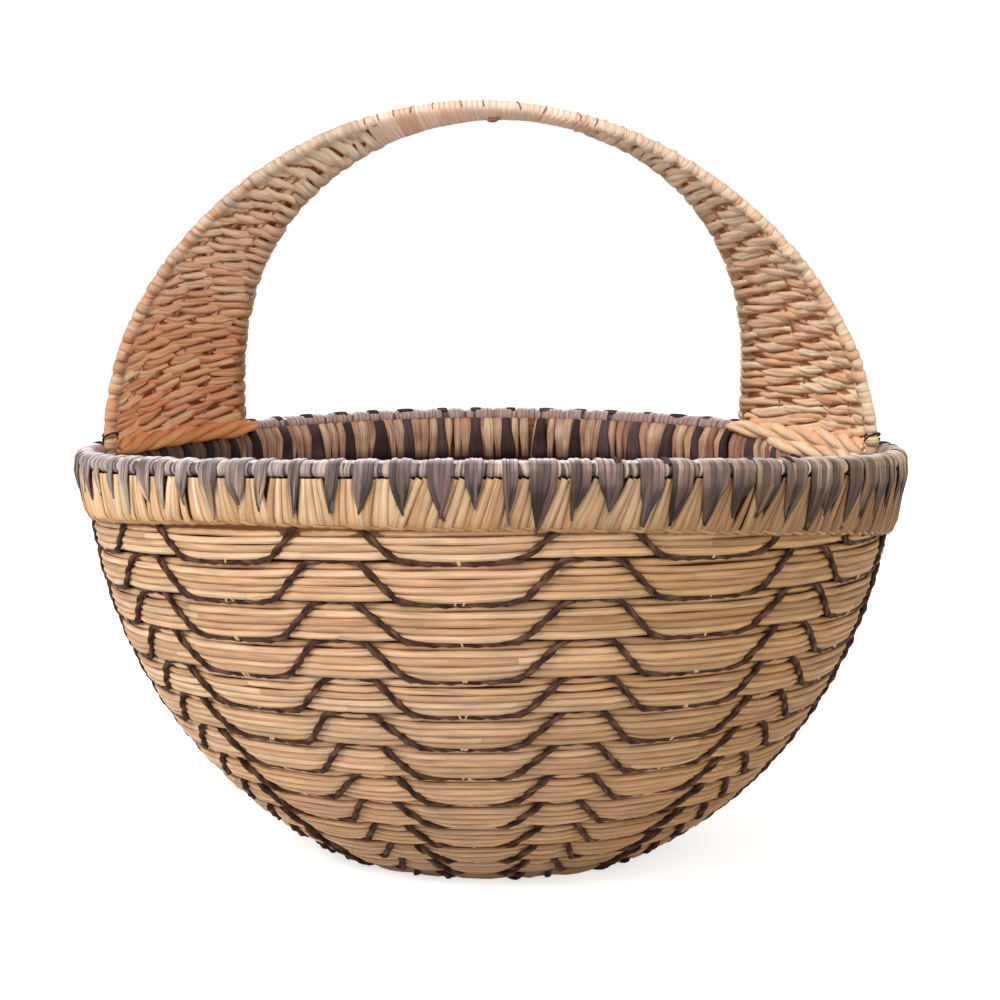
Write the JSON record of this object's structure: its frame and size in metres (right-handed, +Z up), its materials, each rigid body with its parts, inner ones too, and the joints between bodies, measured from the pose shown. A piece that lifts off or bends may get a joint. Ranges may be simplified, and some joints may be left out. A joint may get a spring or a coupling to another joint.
{
  "type": "hanging basket planter",
  "caption": "Round coiled straw bowl bound with dark cord, with a wrapped rim of pointed teeth and a tall arched handle with woven panels, for a plant or for carrying.",
  "frame": {"origin": "on the ground under the middle of the flat base", "axes": "+Z up through the bowl to the handle, +X towards the handle's right foot, -Y towards the front, the side away from the woven panels"},
  "size_m": [0.34, 0.34, 0.3101],
  "materials": {
    "straw": "matte",
    "cord": "matte",
    "band_straw": "matte",
    "rim_strip": "matte",
    "hoop": "satin",
    "wrap_strip": "satin",
    "panel_left": "matte",
    "panel_right": "matte"
  },
  "bodies": {
    "root": {"body_coil": "straw", "binding_cord": "cord", "border_band": "band_straw", "rim_wrap": "rim_strip", "handle_outer_hoop": "hoop", "handle_inner_hoop": "hoop", "handle_top_wrap": "wrap_strip", "handle_panel_left": "panel_left", "handle_panel_right": "panel_right", "foot_roll_left": "panel_left", "foot_roll_right": "panel_right", "handle_rib_left_1": "hoop", "handle_rib_left_2": "hoop", "handle_rib_left_3": "hoop", "handle_rib_left_4": "hoop", "handle_rib_right_1": "hoop", "handle_rib_right_2": "hoop", "handle_rib_right_3": "hoop", "handle_rib_right_4": "hoop"}
  },
  "joints": []
}
